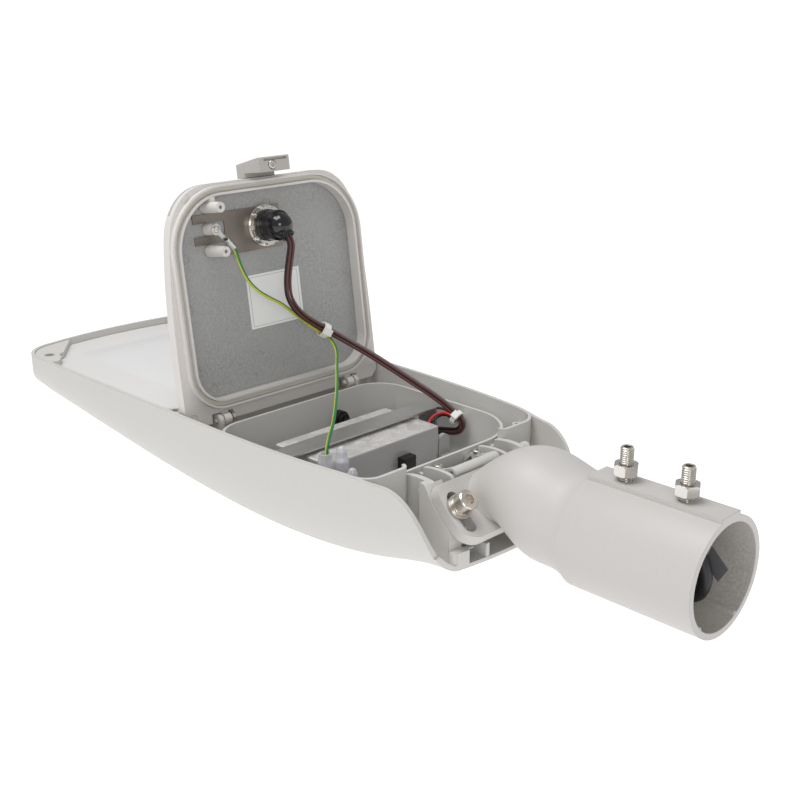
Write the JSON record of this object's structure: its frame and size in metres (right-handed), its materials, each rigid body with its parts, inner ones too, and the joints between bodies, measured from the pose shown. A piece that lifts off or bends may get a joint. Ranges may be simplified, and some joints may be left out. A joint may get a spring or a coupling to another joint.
{
  "type": "street light head",
  "caption": "Street lamp head for a round pole spigot, with a hinged gear cover standing open over its driver compartment and a glass lamp window.",
  "frame": {"origin": "middle of the mouth of the spigot bore", "axes": "+X along the bore out of its mouth, +Y across the lamp to its far side, +Z to the glass side; the lamp lies on its back with the cover open"},
  "size_m": [0.586, 0.1866, 0.2324],
  "materials": {
    "body_paint": "fine matt powder coat",
    "arm_paint": "fine matt powder coat",
    "bright_steel": "stainless, turned",
    "tinned": "tinned copper",
    "glass": "clear toughened",
    "seal_grey": "matt",
    "seal_cream": "matt foam",
    "driver_alu": "anodised",
    "board_white": "solder mask",
    "lens_clear": "clear moulded",
    "plastic_grey": "moulded",
    "plastic_black": "moulded",
    "rubber_black": "matt",
    "galvanised": "galvanised",
    "cap_clear": "translucent",
    "plastic_white": "nylon",
    "nylon": "nylon",
    "wire_red": "insulation",
    "wire_black": "insulation",
    "wire_brown": "insulation",
    "wire_blue": "insulation",
    "wire_grey": "insulation",
    "wire_earth": "green and yellow insulation",
    "nut_metal": "plated",
    "earth_metal": "dull plate",
    "latch_metal": "powder coat",
    "label_white": "film"
  },
  "bodies": {
    "arm": {"spigot_arm": "arm_paint", "set_screws": "bright_steel", "set_screw_nuts": "bright_steel"},
    "lamp": {"housing": "body_paint", "tilt_bolts": "bright_steel", "spring_washers": "bright_steel", "flat_washers": "bright_steel", "glass_panel": "glass", "glass_gasket": "seal_grey", "led_carrier": "driver_alu", "led_board": "board_white", "lens_plate": "lens_clear", "corner_clamps": "body_paint", "glass_tabs": "body_paint", "window_screws": "bright_steel", "driver_case": "driver_alu", "driver_ears": "plastic_grey", "driver_screws": "bright_steel", "driver_plug": "plastic_black", "strap": "galvanised", "strap_screws": "bright_steel", "wire_caps": "cap_clear", "lead_gland": "plastic_black", "mains_grommet": "plastic_black", "mains_sheath": "rubber_black", "latch_catch": "body_paint", "catch_screws": "bright_steel", "hinge_pins": "bright_steel", "wall_tie": "plastic_white", "lead_red": "wire_red", "lead_black": "wire_black", "lead_brown": "wire_brown", "led_cable": "wire_black", "mains_core_a": "wire_brown", "mains_core_b": "wire_blue", "wire_grey": "wire_grey", "wire_brown_a": "wire_brown", "wire_brown_b": "wire_brown", "wire_black_a": "wire_black", "wire_black_b": "wire_black", "wire_earth": "wire_earth", "harness_tie": "plastic_white"},
    "cover": {"cover": "body_paint", "cover_gasket": "seal_cream", "hinge_bushings": "nylon", "sensor_socket": "plastic_black", "socket_cap": "plastic_black", "lock_nut": "nut_metal", "earth_plate": "earth_metal", "boot": "rubber_black", "ring_terminal": "tinned", "crimp_sleeve": "tinned", "earth_screw": "bright_steel", "latch_block": "latch_metal", "latch_screw": "bright_steel", "rating_label": "label_white"}
  },
  "joints": [
    {"name": "spigot_tilt", "type": "hinge", "parent": "arm", "child": "lamp", "pos_m": [-0.098, 0, 0.058], "axis": [0, 1, 0], "range_deg": [-9, 4.5]},
    {"name": "cover_hinge", "type": "hinge", "parent": "lamp", "child": "cover", "pos_m": [-0.356, 0, 0.0125], "axis": [0, 1, 0], "range_deg": [0, 97.5], "deforming": ["wire_grey", "wire_brown_a", "wire_brown_b", "wire_black_a", "wire_black_b", "wire_earth", "harness_tie"]}
  ]
}
